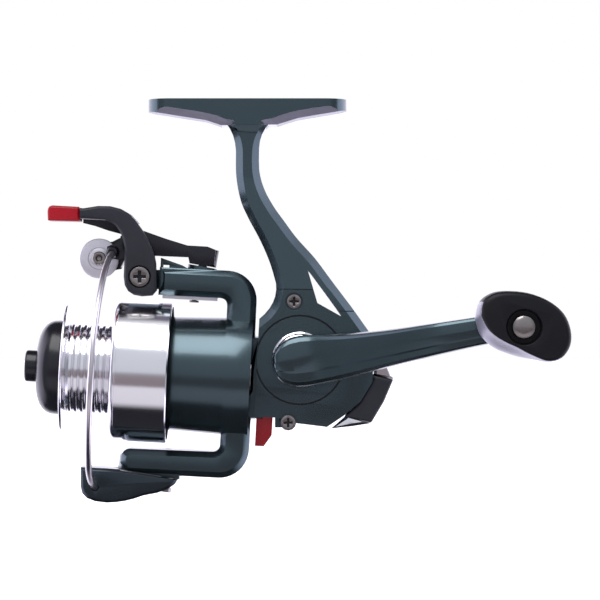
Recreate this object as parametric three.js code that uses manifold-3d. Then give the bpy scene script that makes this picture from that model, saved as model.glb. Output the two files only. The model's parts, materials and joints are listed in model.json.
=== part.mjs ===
// Open-face spinning reel with a trigger-opened bail.
// Millimetres, +Z up. The origin is the centre of the foot's flat seat.
// The spool's nose points to -X and the crank is on the -Y side.

import * as THREE from "three";
import { mergeVertices } from "three/addons/utils/BufferGeometryUtils.js";
import Module from "manifold-3d";

const wasm = await Module();
wasm.setup();

// ---- driving dimensions ----

const FOOT_LENGTH = 54;
const FOOT_WIDTH = 15;
const SHAFT_TILT = THREE.MathUtils.degToRad(3); // nose end higher than the tail
const SKIRT_REAR = [-21.2, 0, -74.45]; // where the shaft's axis leaves the spool skirt

const HALF_BODY = 8.5; // gear housing's half width
const HALF_STEM = 5; // the stem's half width at its waist
const PARTING = -3.5; // plane where the side cover meets the housing
const WALL = 1.5;
const GAP = 0.25; // between pieces that rest on each other
const RUN = 0.07; // radial clearance of running fits, before faceting

// Places along the shaft (u) and above it (w), from the skirt's rear edge.
const DRIVE_U = 35.26;
const DRIVE_W = 5.6;
const TOOTH_MODULE = 0.55;
const PINION_TEETH = 8;
const DRIVE_TEETH = 32;
const SHAFT_R = 1.2;
const DRIVE_SHAFT_R = 2.2;
const OSC_MODULE = 0.55;
const OSC_PINION_TEETH = 12;
const OSC_GEAR_TEETH = 22;
const OSC_DROP = 2.8; // oscillation gear's axis below the crank's
const STROKE = 8.6;

const SKIRT_R = 19.25;
const SKIRT_LENGTH = 15.6;
const BARREL_R = 12.3;
const LIP_R = 17.6;
const LIP_U = -28.9;
const DRUM_R = 15.7;
const ROTOR_BACK = 22.7;
const ARM_FRONT = -4; // where the upper rotor arm meets the trigger
const ARM_TOP = [21.2, 28.7]; // upper rotor arm, inner and outer height
const ARM_LOW = [-27.5, -20.5];
const ARM_HALF = 6.8;

const BAIL_TOP = [-12, 0, -44];
const BAIL_LOW = [-22.6, 0, -104];
const TRIGGER_PIVOT = [-29, -48.2];
const SWING_R = 14; // the bail holder turns clear of the lower arm outside this radius
const PIVOT_GAP = 1.35; // bail holder's flat top, up the bail's axis from its lower pivot
const ROLLER = [-40.3, -43.2];

const CRANK_RISE = THREE.MathUtils.degToRad(9.5);
const CRANK_LENGTH = 57;
const HUB_Y = -21; // inner face of the crank's hub
const KNOB_Y = [-65, -50.5];

// ---- small tools ----

const GREEN = { color: 0x37464c, roughness: 0.35, metalness: 0.6 };
const BLACK = { color: 0x1d1d21, roughness: 0.45, metalness: 0.1 };
const RED = { color: 0xa81420, roughness: 0.4, metalness: 0 };
const CHROME = { color: 0xd0d0d6, roughness: 0.12, metalness: 1 };
const STEEL = { color: 0x8d8d92, roughness: 0.3, metalness: 1 };
const BRASS = { color: 0xb59045, roughness: 0.35, metalness: 1 };
const ZINC = { color: 0x9a9a9c, roughness: 0.5, metalness: 0.9 };
const FELT = { color: 0x8a8378, roughness: 0.95, metalness: 0 };
const SCREW = { color: 0x57535a, roughness: 0.3, metalness: 0.9 };

// Shared vertices are merged while a piece is still square to the axes, where they match exactly.
function weld(geometry) {
  geometry.deleteAttribute("normal");
  geometry.deleteAttribute("uv");
  const merged = mergeVertices(geometry, 1e-4);
  const corners = [];
  for (let i = 0; i < merged.index.count; i += 3) {
    const [a, b, c] = merged.index.array.slice(i, i + 3);
    if (a !== b && b !== c && c !== a) corners.push(a, b, c);
  }
  return merged.setIndex(corners);
}

function solid(geometry) {
  return new wasm.Manifold(new wasm.Mesh({
    numProp: 3,
    vertProperties: new Float32Array(geometry.attributes.position.array),
    triVerts: new Uint32Array(geometry.index.array),
  }));
}

function surface(body) {
  const mesh = body.getMesh();
  const geometry = new THREE.BufferGeometry();
  geometry.setAttribute("position", new THREE.BufferAttribute(mesh.vertProperties, 3));
  geometry.setIndex(new THREE.BufferAttribute(mesh.triVerts, 1));
  return geometry;
}

const join = (...pieces) => pieces.map(solid).reduce((a, b) => a.add(b));
const cut = (base, ...tools) => tools.map(solid).reduce((a, b) => a.subtract(b), base);

// A piece with everything in `away` taken from it.
const carved = (pieces, away = []) => surface(cut(join(...pieces), ...away));

function outline(points, holes = []) {
  const shape = new THREE.Shape(points.map(([x, y]) => new THREE.Vector2(x, y)));
  shape.holes = holes.map((hole) => new THREE.Path(hole.map(([x, y]) => new THREE.Vector2(x, y))));
  return shape;
}

// A plate drawn from the side (x across, z up) that fills y from low to high.
function plate(shape, low, high, bevel = 0, segments = 6) {
  const geometry = new THREE.ExtrudeGeometry(shape, {
    depth: high - low - 2 * bevel,
    bevelEnabled: bevel > 0,
    bevelThickness: bevel,
    bevelSize: bevel,
    bevelOffset: -bevel,
    bevelSegments: 1,
    curveSegments: segments,
  });
  return weld(geometry).rotateX(Math.PI / 2).translate(0, high - bevel, 0);
}

// The same drawn from above (x across, y away) that fills z from low to high.
function slab(shape, low, high, segments = 8) {
  const geometry = new THREE.ExtrudeGeometry(shape, {
    depth: high - low,
    bevelEnabled: false,
    curveSegments: segments,
  });
  return weld(geometry).translate(0, 0, low);
}

function disc(x, y, r) {
  const shape = new THREE.Shape();
  shape.absarc(x, y, r, 0, 2 * Math.PI, false);
  return shape;
}

// A twelve-sided bore whose flats, not its corners, lie at the radius given.
const bore = (x, y, r) => disc(x, y, r / Math.cos(Math.PI / 12));

// Turned pieces: [radius, place] pairs, about X or about Y.
function turned(profile, sides) {
  const points = profile.map(([r, place]) => new THREE.Vector2(r, place));
  if (THREE.ShapeUtils.area(points) < 0) points.reverse();
  return weld(new THREE.LatheGeometry(points, sides));
}
const turnedX = (profile, sides = 32) => turned(profile, sides).rotateZ(-Math.PI / 2);
const turnedY = (profile, sides = 24) => turned(profile, sides);

const pinX = (r, from, to, sides = 24) => turnedX([[0, from], [r, from], [r, to], [0, to]], sides);
const pinY = (r, from, to, sides = 24) => turnedY([[0, from], [r, from], [r, to], [0, to]], sides);
const ringX = (r, bore, from, to, sides = 32) =>
  turnedX([[bore, from], [r, from], [r, to], [bore, to], [bore, from]], sides);
const ringY = (r, bore, from, to, sides = 24) =>
  turnedY([[bore, from], [r, from], [r, to], [bore, to], [bore, from]], sides);

function box(x, y, z) {
  const size = [x[1] - x[0], y[1] - y[0], z[1] - z[0]];
  const block = weld(new THREE.BoxGeometry(...size));
  return block.translate((x[0] + x[1]) / 2, (y[0] + y[1]) / 2, (z[0] + z[1]) / 2);
}

function mesh(name, geometry, look, place = [0, 0, 0]) {
  const piece = new THREE.Mesh(geometry, new THREE.MeshStandardMaterial(look));
  piece.name = name;
  piece.position.set(...place);
  return piece;
}

// A cross-recessed screw along Y, its head on the -Y side.
function screw(name, place, headR, headDeep, shankR, shankLong) {
  const slot = [headR * 0.62, headR * 0.16];
  const body = pinY(headR, 0, headDeep, 20);
  const shank = pinY(shankR, headDeep - 0.1, headDeep + shankLong, 12);
  const cross = [slot, [slot[1], slot[0]]].map(([a, b]) => box([-a, a], [-1, headDeep * 0.55], [-b, b]));
  return mesh(name, carved([body, shank], cross), SCREW, place);
}

// Spur teeth as flat-topped wedges on a root circle.
function gearShape(teeth, toothModule, boreR, share = 0.4) {
  const pitchR = (teeth * toothModule) / 2;
  const rootR = pitchR - 1.15 * toothModule;
  const tipR = pitchR + 0.85 * toothModule;
  const step = (2 * Math.PI) / teeth;
  const points = [];
  for (let i = 0; i < teeth; i += 1) {
    for (const [r, side] of [[rootR, -0.75], [tipR, -0.28], [tipR, 0.28], [rootR, 0.75]]) {
      const angle = i * step + side * share * step;
      points.push([r * Math.cos(angle), r * Math.sin(angle)]);
    }
  }
  const shape = outline(points);
  if (boreR > 0) shape.holes.push(bore(0, 0, boreR));
  return shape;
}

// ---- frame: foot, stem and gear housing ----

const STEM_LEFT = [[-3.1, -14], [-3, -21], [-1.8, -27.4], [0.2, -32.1], [3.5, -38.3], [6.1, -44.3],
  [7.8, -50]];
const STEM_RIGHT = [[28.3, -56.5], [23.3, -49.9], [18.4, -43.3], [13.4, -37.7], [9.7, -32.7], [7.2, -29.2],
  [4.7, -24.6], [3.3, -19.6], [3.2, -13.3]];
const vectors = (points) => points.map(([x, z]) => new THREE.Vector2(x, z));

function bodyShape() {
  const shape = new THREE.Shape();
  shape.moveTo(-9, -4);
  shape.quadraticCurveTo(-3.4, -7, -3.1, -14);
  shape.splineThru(vectors(STEM_LEFT.slice(1)));
  shape.quadraticCurveTo(8.4, -55.5, 3.3, -59.6);
  shape.lineTo(1.9, -86);
  shape.lineTo(8, -86.3);
  shape.lineTo(13.4, -87.8);
  shape.lineTo(21.6, -88.8);
  shape.lineTo(26, -85.8);
  shape.lineTo(30.6, -81.9);
  shape.lineTo(33.8, -76.7);
  shape.lineTo(34.6, -66);
  shape.lineTo(32.7, -62.7);
  shape.splineThru(vectors(STEM_RIGHT));
  shape.quadraticCurveTo(3.4, -7, 10, -4);
  shape.closePath();
  shape.holes = [outline([[16.4, -46.4], [19, -55.3], [25.6, -59]])];
  return shape;
}

// Width of the stem seen from the nose.
function widthShape() {
  const half = [[FOOT_WIDTH / 2, 1], [FOOT_WIDTH / 2, -3], [HALF_STEM, -9], [HALF_STEM, -22],
    [HALF_BODY, -51], [HALF_BODY, -95]];
  const other = half.map(([y, z]) => [-y, z]).reverse();
  return outline([...half, ...other]);
}

const acrossX = (shape, low, high) => slab(shape, low, high).rotateX(Math.PI / 2).rotateZ(Math.PI / 2);

function footGeometry() {
  const plan = new THREE.Shape();
  const end = FOOT_LENGTH / 2;
  const half = FOOT_WIDTH / 2;
  plan.moveTo(-end + 6, -half);
  plan.lineTo(end - 6, -half);
  plan.absellipse(end - 6, 0, 6, half, -Math.PI / 2, Math.PI / 2, false);
  plan.lineTo(-end + 6, half);
  plan.absellipse(-end + 6, 0, 6, half, Math.PI / 2, 1.5 * Math.PI, false);
  const side = outline([[-end, 0], [end, 0], [end, -3], [13.9, -5.2], [8, -7], [-7, -7.2], [-11.2, -5.8],
    [-end, -3.3]]);
  return solid(slab(plan, -9, 0, 10)).intersect(solid(plate(side, -half, half)));
}

// Outline of the gear cavity, kept a wall inside the housing.
function cavityShape() {
  const shape = new THREE.Shape();
  shape.absarc(14.3, -70.7, 11.9, 0.9, 4.4, false);
  shape.lineTo(24, -84.5);
  shape.lineTo(29, -81);
  shape.lineTo(32, -75.6);
  shape.lineTo(32.6, -66.2);
  shape.lineTo(30.8, -63);
  shape.closePath();
  return shape;
}

const onShaft = new THREE.Group();
onShaft.position.set(...SKIRT_REAR);
onShaft.rotation.y = SHAFT_TILT;
onShaft.updateMatrixWorld(true);
const toWorld = (geometry) => geometry.applyMatrix4(onShaft.matrixWorld);
const intoShaft = (geometry) => geometry.applyMatrix4(onShaft.matrixWorld.clone().invert());
const shaftPlace = (u, w) => new THREE.Vector3(u, 0, w).applyMatrix4(onShaft.matrixWorld);

const crank = shaftPlace(DRIVE_U, DRIVE_W);
const oscReach = (OSC_PINION_TEETH + OSC_GEAR_TEETH) * OSC_MODULE / 2;
const oscU = DRIVE_U + Math.sqrt(oscReach ** 2 - OSC_DROP ** 2);
const oscW = DRIVE_W - OSC_DROP;
const osc = shaftPlace(oscU, oscW);

const NECK_R = 11.4;
const NECK_FRONT = 18.7;
const BEARING_R = 5;
const COVER_SCREWS = [[12.7, -54.9], [11.1, -87.6], [29.6, -66.5]];
const BOSS_R = 2.9;
const LUG_R = 2.2; // the bottom screw's head sits on its lug, as wide as the lug
const DISC_R = 11.8; // round face about the crank
const LOW_SEAT = -HALF_BODY + 1.5;
// Anti-reverse lever and pawl: their axes run beside the shaft.
const LEVER_U = 24.2;
const LEVER_Y = 3;
const LEVER_W = -9.3;
const PAWL_Y = -6;
const PAWL_W = -7.6;

// The cover's share of the side: its seam crosses the stem, then the strut behind the window.
const coverRegion = (gap) => outline([[-10, -51.2 - gap], [19, -51.6 - gap], [23.6, -57.4 - gap],
  [40, -57.4 - gap], [40, -95], [-10, -95]]);

function frameBody() {
  const whole = solid(plate(bodyShape(), -HALF_BODY, HALF_BODY));
  const profile = solid(acrossX(widthShape(), -30, 40));
  const [lugX, lugZ] = COVER_SCREWS[1];
  const lug = plate(disc(lugX, lugZ, LUG_R), PARTING, HALF_BODY - 3);
  const tab = box([lugX - 3.6, lugX], [PARTING, 1], [lugZ - 1.5, lugZ + 2.5]);
  const neck = toWorld(pinX(NECK_R, NECK_FRONT, 26));
  let body = whole.intersect(profile).add(footGeometry()).add(solid(neck)).add(solid(lug)).add(solid(tab));
  const hollow = plate(cavityShape(), -20, HALF_BODY - WALL);
  const bores = [
    toWorld(pinX(BEARING_R + 0.05, NECK_FRONT - 1, NECK_FRONT + 4.2)),
    toWorld(pinX(3.2, NECK_FRONT, 27)),
  ];
  const bush = pinY(3.5, 0, 20).translate(crank.x, 0, crank.z);
  const stub = pinY(1.6, 3.1, HALF_BODY - WALL + 0.3, 12).translate(osc.x, 0, osc.z);
  const lowLug = pinY(1.05, -20, 4, 12).translate(lugX, 0, lugZ);
  body = cut(body, plate(coverRegion(0), -20, PARTING), hollow, ...bores, bush, lowLug);
  const innerScrews = [COVER_SCREWS[0], COVER_SCREWS[2]];
  const bosses = innerScrews.map(([x, z]) => plate(disc(x, z, BOSS_R), PARTING, HALF_BODY - 1));
  body = bosses.reduce((a, boss) => a.add(solid(boss)), body).add(solid(stub));
  const threads = innerScrews.map(([x, z]) => pinY(1.05, -20, 4, 12).translate(x, 0, z));
  const leverRoom = [
    pinX(1.25, NECK_FRONT - 2, 24, 12).translate(0, LEVER_Y, LEVER_W),
    pinX(3.1, 23.6, LEVER_U + 5, 20).translate(0, LEVER_Y, LEVER_W),
    box([LEVER_U - 0.4, LEVER_U + 5], [-2.6, 10], [-20, LEVER_W]),
    pinX(0.85, NECK_FRONT - 2, 22, 10).translate(0, PAWL_Y, PAWL_W),
  ];
  return cut(body, ...threads, ...leverRoom.map(toWorld));
}

function sideCover() {
  const whole = solid(plate(bodyShape(), -HALF_BODY, HALF_BODY));
  const skin = solid(plate(coverRegion(GAP), -20, PARTING - GAP));
  const face = pinY(DISC_R, -HALF_BODY - 0.5, -HALF_BODY + 1, 40).translate(crank.x, 0, crank.z);
  const groove = ringY(DISC_R + 0.4, DISC_R - 0.05, -HALF_BODY - 1, -HALF_BODY + 0.7, 40)
    .translate(crank.x, 0, crank.z);
  const [lugX, lugZ] = COVER_SCREWS[1];
  const lug = plate(disc(lugX, lugZ, LUG_R), LOW_SEAT, PARTING - GAP);
  const neckRoom = toWorld(pinX(NECK_R + GAP, 0, 23.6));
  const hollow = plate(cavityShape(), -HALF_BODY + WALL, 0);
  let cover = whole.intersect(skin).add(solid(face)).add(solid(lug));
  cover = cut(cover, hollow, neckRoom);
  cover = COVER_SCREWS.slice(0, 1).concat(COVER_SCREWS.slice(2))
    .map(([x, z]) => solid(plate(disc(x, z, BOSS_R), -HALF_BODY + 0.5, PARTING - GAP)))
    .reduce((a, boss) => a.add(boss), cover);
  const bush = pinY(3.5, -20, 0).translate(crank.x, 0, crank.z);
  const seats = COVER_SCREWS.flatMap(([x, z], i) => [
    pinY(1.3, -20, 0, 12).translate(x, 0, z),
    pinY(2.4, -20, i === 1 ? LOW_SEAT : -HALF_BODY + 2.2, 20).translate(x, 0, z),
  ]);
  return cut(cover, bush, groove, ...seats);
}

const root = new THREE.Group();
const add = (...pieces) => pieces.forEach((piece) => root.add(piece));
const addOnShaft = (...pieces) => pieces.forEach((piece) => onShaft.add(piece));
root.add(onShaft);

add(
  mesh("frame_body", surface(frameBody()), GREEN),
  mesh("side_cover", surface(sideCover()), GREEN),
);
COVER_SCREWS.forEach(([x, z], i) => {
  const name = `cover_screw_${["top", "bottom", "rear"][i]}`;
  const seat = i === 1 ? LOW_SEAT - 1.4 : -HALF_BODY + 0.7;
  add(screw(name, [x, seat, z], 2, 1.4, 1, 8.5));
});

// ---- rear cap ----

const capShape = outline([[34.9, -66.6], [37.2, -69], [39.6, -75.8], [37, -81.9], [33.6, -87.8],
  [28.5, -88.6], [22.8, -89.2], [26.4, -86.1], [30.9, -82.1], [34.15, -76.75]]);
const blockShape = outline([[34.5, -74.7], [39.5, -76], [37, -81.9], [33.6, -87.6], [27.3, -85.9],
  [31, -82.3], [34.2, -76.9]]);
const capRoom = outline([[33.5, -74.2], [41, -75.5], [38, -82], [34.1, -88.1], [25.5, -85.8],
  [30.5, -81.6]]);
add(
  mesh("rear_cap", carved([plate(capShape, -7.6, 7.6, 0.8)],
    [plate(capRoom, -10, -3.1), plate(capRoom, 3.1, 10)]), CHROME),
  mesh("rear_cap_insert", plate(blockShape, -7.9, -3.4, 0.6), BLACK),
  mesh("rear_cap_insert_far", plate(blockShape, 3.4, 7.9, 0.6), BLACK),
);

// ---- crank: drive gear, its shaft, the arm and the knob ----

const driveGroup = new THREE.Group();
driveGroup.position.set(DRIVE_U, 0, DRIVE_W);
onShaft.add(driveGroup);

const pitchR = (PINION_TEETH * TOOTH_MODULE) / 2;
const meshX = (DRIVE_TEETH / PINION_TEETH) * pitchR; // where gear and pinion move alike
const FACE_Y = -pitchR - 1.2 * TOOTH_MODULE;
const GEAR_BACK = -5.6;

// Drive gear: a face gear whose teeth run parallel to the pinion that it meets off-centre.
function driveGear() {
  const web = ringY(11.35, DRIVE_SHAFT_R + 0.02, GEAR_BACK, FACE_Y, 48);
  const relief = ringY(8.6, 4.2, GEAR_BACK + 1.4, FACE_Y + 1, 36);
  const teeth = [];
  for (let i = 0; i < DRIVE_TEETH; i += 1) {
    const height = 1.95 * TOOTH_MODULE;
    const tooth = weld(new THREE.CylinderGeometry(0.32, 0.62, height + 0.3, 4, 1)).rotateY(Math.PI / 4);
    tooth.scale(2.1, 1, 0.72).translate(-meshX, FACE_Y + height / 2 - 0.15, -DRIVE_W);
    teeth.push(tooth.rotateY((2 * Math.PI * i) / DRIVE_TEETH));
  }
  return carved([web, ...teeth], [relief]);
}

// A spur gear about Y with one tooth pointing at the angle given, counted from +X towards +Z.
function spurY(teeth, toothModule, boreR, from, to, angle) {
  return plate(gearShape(teeth, toothModule, boreR), from, to).rotateY(-angle);
}
const oscAngle = Math.atan2(-OSC_DROP, oscU - DRIVE_U);
const oscSpace = oscAngle + Math.PI + Math.PI / OSC_GEAR_TEETH;

driveGroup.add(
  mesh("drive_gear", driveGear(), ZINC),
  mesh("drive_shaft", carved([pinY(DRIVE_SHAFT_R, HUB_Y - 1.5, 8.2)]), STEEL),
  mesh("oscillation_pinion",
    spurY(OSC_PINION_TEETH, OSC_MODULE, DRIVE_SHAFT_R + 0.03, 2.9, 5.3, oscAngle), ZINC),
  mesh("handle_collar", turnedY([[2.3, -9.9], [7.5, -9.9], [7.7, -11], [7.1, HUB_Y + GAP],
    [2.3, HUB_Y + GAP], [2.3, -9.9]], 32), CHROME),
);

add(
  mesh("drive_bush_right", ringY(3.4, DRIVE_SHAFT_R + RUN, -8.9, -6), BRASS, [crank.x, 0, crank.z]),
  mesh("drive_bush_left", ringY(3.4, DRIVE_SHAFT_R + RUN, 5.7, 8.3), BRASS, [crank.x, 0, crank.z]),
);

// The arm is drawn along +X from the crank's axis, then raised to its rest angle.
const armGroup = new THREE.Group();
armGroup.position.copy(crank);
armGroup.rotation.y = -CRANK_RISE;
root.add(armGroup);

function handleArm() {
  const side = new THREE.Shape();
  side.moveTo(0, 6.9);
  side.quadraticCurveTo(14, 5, 30, 4.5);
  side.lineTo(CRANK_LENGTH, 4);
  side.absarc(CRANK_LENGTH, 0.5, 3.5, Math.PI / 2, -Math.PI / 2, true);
  side.lineTo(30, -4.3);
  side.quadraticCurveTo(14, -6.5, 0, -6.9);
  side.absarc(0, 0, 6.9, -Math.PI / 2, Math.PI / 2, true);
  const top = outline([[-8, HUB_Y], [7.5, HUB_Y], [37, -44.5], [62, -44.5], [62, -50], [33, -50], [3, -27.5],
    [-8, -27.5]]);
  const arm = solid(plate(side, -52, -20)).intersect(solid(slab(top, -12, 12)));
  return surface(cut(arm, pinY(DRIVE_SHAFT_R + 0.05, -23, -20), pinY(1.55, -60, -40, 16)
    .translate(CRANK_LENGTH, 0, 0)));
}

function handleKnob() {
  const shape = new THREE.Shape();
  shape.moveTo(-12, 2);
  shape.quadraticCurveTo(-11.6, 9.2, -4.5, 9.2);
  shape.quadraticCurveTo(6.5, 9, 11.6, 2);
  shape.quadraticCurveTo(13.6, -5, 9.4, -8.2);
  shape.quadraticCurveTo(5.5, -10.4, -1, -7.9);
  shape.quadraticCurveTo(-12.4, -5, -12, 2);
  const block = plate(shape, KNOB_Y[0], KNOB_Y[1], 2, 5);
  return carved([block], [pinY(1.75, -80, -40, 16), pinY(4.4, -80, KNOB_Y[0] + 2.4)]);
}

const knob = mesh("handle_knob", handleKnob(), BLACK, [CRANK_LENGTH, 0, 0]);
knob.rotation.y = CRANK_RISE;
armGroup.add(
  mesh("handle_arm", handleArm(), GREEN),
  knob,
  mesh("knob_rivet",
    carved([pinY(3, KNOB_Y[0] + 0.6, KNOB_Y[0] + 2.1), pinY(1.5, KNOB_Y[0] + 2, -44.3, 16)]), STEEL,
    [CRANK_LENGTH, 0, 0]),
);

// ---- main line: shaft, pinion, bearing and ratchet ----

const PINION_BORE = SHAFT_R + RUN;
const PINION_BACK = 29.2;
const rotorWeb = [12.6, 16.1];

function pinionGear() {
  // Turned so that a tooth space faces the drive gear.
  const teeth = slab(gearShape(PINION_TEETH, TOOTH_MODULE, 0), 23.4, PINION_BACK)
    .rotateZ(Math.PI / PINION_TEETH).rotateY(Math.PI / 2);
  const body = [teeth, pinX(2.5, NECK_FRONT - 0.4, 23.6), pinX(2.1, 9.2, NECK_FRONT)];
  return carved(body, [pinX(PINION_BORE, 0, 40)]);
}

function ratchetShape() {
  const points = [];
  const count = 12;
  for (let i = 0; i < count; i += 1) {
    const angle = (2 * Math.PI * i) / count;
    points.push([6.6 * Math.cos(angle), 6.6 * Math.sin(angle)]);
    points.push([5.4 * Math.cos(angle + 0.1), 5.4 * Math.sin(angle + 0.1)]);
  }
  const shape = outline(points);
  shape.holes = [bore(0, 0, 2.13)];
  return shape;
}

const alongX = (shape, from, to) => slab(shape, from, to, 6).rotateY(Math.PI / 2);

function mainShaft() {
  return carved([pinX(SHAFT_R, -37.2, oscU - STROKE / 2 + 2.4)]);
}

function spoolSlider() {
  const u = oscU - STROKE / 2;
  const block = box([u - 2, u + 2], [-1.45, 2.25], [-2.8, 7.6]);
  const slot = box([u - 0.95, u + 0.95], [0.6, 3], [oscW - STROKE / 2 - 0.3, 7]);
  return carved([block], [slot, pinX(SHAFT_R + 0.03, u - 3, u + 3)]);
}

function oscillationGear() {
  const wheel = spurY(OSC_GEAR_TEETH, OSC_MODULE, 1.65, 2.9, 5.3, oscSpace);
  const pin = pinY(0.8, 2.4, 3, 12).translate(-STROKE / 2, 0, 0);
  return carved([wheel, pin]);
}

const oscGear = mesh("oscillation_gear", oscillationGear(), ZINC, [oscU, 0, oscW]);

addOnShaft(
  mesh("main_shaft", mainShaft(), STEEL),
  mesh("pinion_gear", pinionGear(), BRASS),
  mesh("pinion_bearing", ringX(BEARING_R, 2.5 + RUN, NECK_FRONT + 0.2, NECK_FRONT + 3.6), STEEL),
  mesh("bearing_retainer", ringX(7.4, 3.1, NECK_FRONT - 0.9, NECK_FRONT - GAP), STEEL),
  mesh("ratchet_wheel", alongX(ratchetShape(), rotorWeb[1] + 0.25, rotorWeb[1] + 1.35), STEEL),
  mesh("spool_slider", spoolSlider(), ZINC),
  mesh("slider_clip",
    ringX(2.1, SHAFT_R + 0.02, oscU - STROKE / 2 - 2.6, oscU - STROKE / 2 - 2.1, 16), STEEL),
  oscGear,
);

// ---- anti-reverse ----

function antiReverseLever() {
  const tail = plate(outline([[LEVER_U, LEVER_W + 1], [LEVER_U + 4.4, LEVER_W + 1], [LEVER_U + 4.4, -15.5],
    [LEVER_U + 2.4, -18.6], [LEVER_U, -18.6]]), LEVER_Y - 2.5, LEVER_Y + 2.5);
  const hub = pinX(2.7, LEVER_U, LEVER_U + 4.4, 20).translate(0, LEVER_Y, LEVER_W);
  const rod = pinX(1.1, NECK_FRONT - 1.6, LEVER_U + 0.5, 12).translate(0, LEVER_Y, LEVER_W);
  return carved([tail, hub, rod]);
}

// A plate in the rotor's rear recess, its tip just outside the ratchet's teeth.
function pawlPiece() {
  const shape = outline([[PAWL_Y - 1.5, PAWL_W + 1], [PAWL_Y - 1, PAWL_W - 1.6],
    [PAWL_Y + 1.6, PAWL_W - 1.2],
    [PAWL_Y + 6.2, PAWL_W - 0.6], [PAWL_Y + 6.2, PAWL_W + 0.6], [PAWL_Y + 1.2, PAWL_W + 1.2]], []);
  shape.holes = [bore(PAWL_Y, PAWL_W, 0.85)];
  // The outline is drawn as y across and w up, then stood across the shaft.
  return acrossX(shape, rotorWeb[1] + 0.35, rotorWeb[1] + 1.3);
}

addOnShaft(
  mesh("anti_reverse_lever", antiReverseLever(), RED),
  mesh("anti_reverse_pawl", pawlPiece(), STEEL),
  mesh("pawl_pin", pinX(0.78, rotorWeb[1] + 0.3, 21.8, 10).translate(0, PAWL_Y, PAWL_W), STEEL),
);

// ---- rotor ----

function rotorSide() {
  const shape = new THREE.Shape();
  const [topIn, topOut] = ARM_TOP;
  const [lowOut, lowIn] = ARM_LOW;
  shape.moveTo(ARM_FRONT, topIn);
  shape.lineTo(12.6, topIn);
  shape.quadraticCurveTo(14.8, topIn, 14.8, topIn - 2.2);
  shape.lineTo(14.8, lowIn + 2.2);
  shape.quadraticCurveTo(14.8, lowIn, 12.6, lowIn);
  shape.lineTo(-9.5, lowIn - 0.3);
  shape.quadraticCurveTo(-12, -21, -12, -24.5);
  shape.lineTo(-10.6, lowOut);
  shape.lineTo(ROTOR_BACK - 8, lowOut);
  shape.absarc(ROTOR_BACK - 8, lowOut + 8, 8, -Math.PI / 2, 0, false);
  shape.lineTo(ROTOR_BACK, topOut - 8);
  shape.absarc(ROTOR_BACK - 8, topOut - 8, 8, 0, Math.PI / 2, false);
  shape.lineTo(ARM_FRONT, topOut);
  shape.closePath();
  return shape;
}

function rotorBody() {
  const fin = outline([[ARM_FRONT, 27], [ARM_FRONT, 31.3], [2, 29.5], [5, 28]],
    [[[-3.2, 28.1], [-1.6, 28.1], [-1.6, 29.4], [-3.2, 29.4]]]);
  const tongue = outline([[-12.5, 23.4], [ARM_FRONT + 0.8, 22.6], [ARM_FRONT + 0.8, 28], [-12.5, 27.6]]);
  const boss = pinX(16.6, 14.9, ROTOR_BACK - 0.6, 40);
  const drum = turnedX([[0, rotorWeb[0]], [DRUM_R - 1.6, rotorWeb[0]], [DRUM_R - 1.9, -2.5],
    [DRUM_R - 0.4, -2.5], [DRUM_R + 0.3, 15.4], [0, 15.4]], 40);
  const recess = pinX(NECK_R + 0.8, rotorWeb[1], 40, 40);
  const pieces = [plate(rotorSide(), -ARM_HALF, ARM_HALF, 1.6, 5), plate(fin, -1.2, 1.2),
    plate(tongue, -3.6, 3.6), boss, drum];
  return { pieces, recess };
}

const bailAxis = new THREE.Vector3(...BAIL_LOW).sub(new THREE.Vector3(...BAIL_TOP)).normalize();
const bailTurn = new THREE.Quaternion().setFromUnitVectors(new THREE.Vector3(0, -1, 0), bailAxis);

// A turned piece about the bail's axis: places are measured down the axis from the upper pivot.
function aboutBail(profile, sides = 24) {
  const geometry = turnedY(profile.map(([r, down]) => [r, -down]), sides);
  return geometry.applyQuaternion(bailTurn).translate(...BAIL_TOP);
}
const bailPin = (r, from, to, sides = 24) => aboutBail([[0, from], [r, from], [r, to], [0, to]], sides);
const BAIL_SPAN = new THREE.Vector3(...BAIL_TOP).distanceTo(new THREE.Vector3(...BAIL_LOW));

function rotorPiece() {
  const { pieces, recess } = rotorBody();
  const upper = intoShaft(bailPin(4, 1.4, 5.5));
  const lowSide = BAIL_SPAN - PIVOT_GAP - GAP;
  const lower = intoShaft(surface(solid(bailPin(SWING_R - 0.7, BAIL_SPAN - 5.5, lowSide + 1, 40))
    .intersect(solid(box([-38, BAIL_LOW[0] + 4.2], [-5.6, 5.6], [-120, -90])))));
  const below = intoShaft(bailPin(SWING_R + 0.8, lowSide, BAIL_SPAN + 3, 48));
  const triggerRoom = pinY(6.4, -20, -4.6, 30).applyMatrix4(new THREE.Matrix4()
    .makeTranslation(trigger.x, 0, trigger.z));
  const pins = [bailPin(1.3, 0, 9, 16), bailPin(1.3, BAIL_SPAN - 9, BAIL_SPAN + 2, 16)].map(intoShaft);
  const pivot = pinY(1.35, -20, 20, 16).applyMatrix4(new THREE.Matrix4()
    .makeTranslation(trigger.x, 0, trigger.z));
  const armHollow = [
    box([-3.2, 12.3], [-4.6, 4.6], [ARM_TOP[0] - 1, ARM_TOP[0] + 1.2]),
    box([-1.6, 9.6], [-3.9, 3.9], [ARM_TOP[0], ARM_TOP[0] + 4.2]),
  ];
  const swing = intoShaft(aboutBail([[SWING_R - 0.4, BAIL_SPAN - 12], [40, BAIL_SPAN - 12],
    [40, BAIL_SPAN + 3], [SWING_R - 0.4, BAIL_SPAN + 3], [SWING_R - 0.4, BAIL_SPAN - 12]], 48));
  const noseHalf = solid(box([-60, 0], [-40, 40], [-60, -10]));
  const tip = surface(solid(swing).intersect(noseHalf));
  const away = [recess, ...pins, pivot, ...armHollow, tip, below, triggerRoom, pinX(2.15, 0, 40)];
  return carved([...pieces, upper, lower], away);
}

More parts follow.
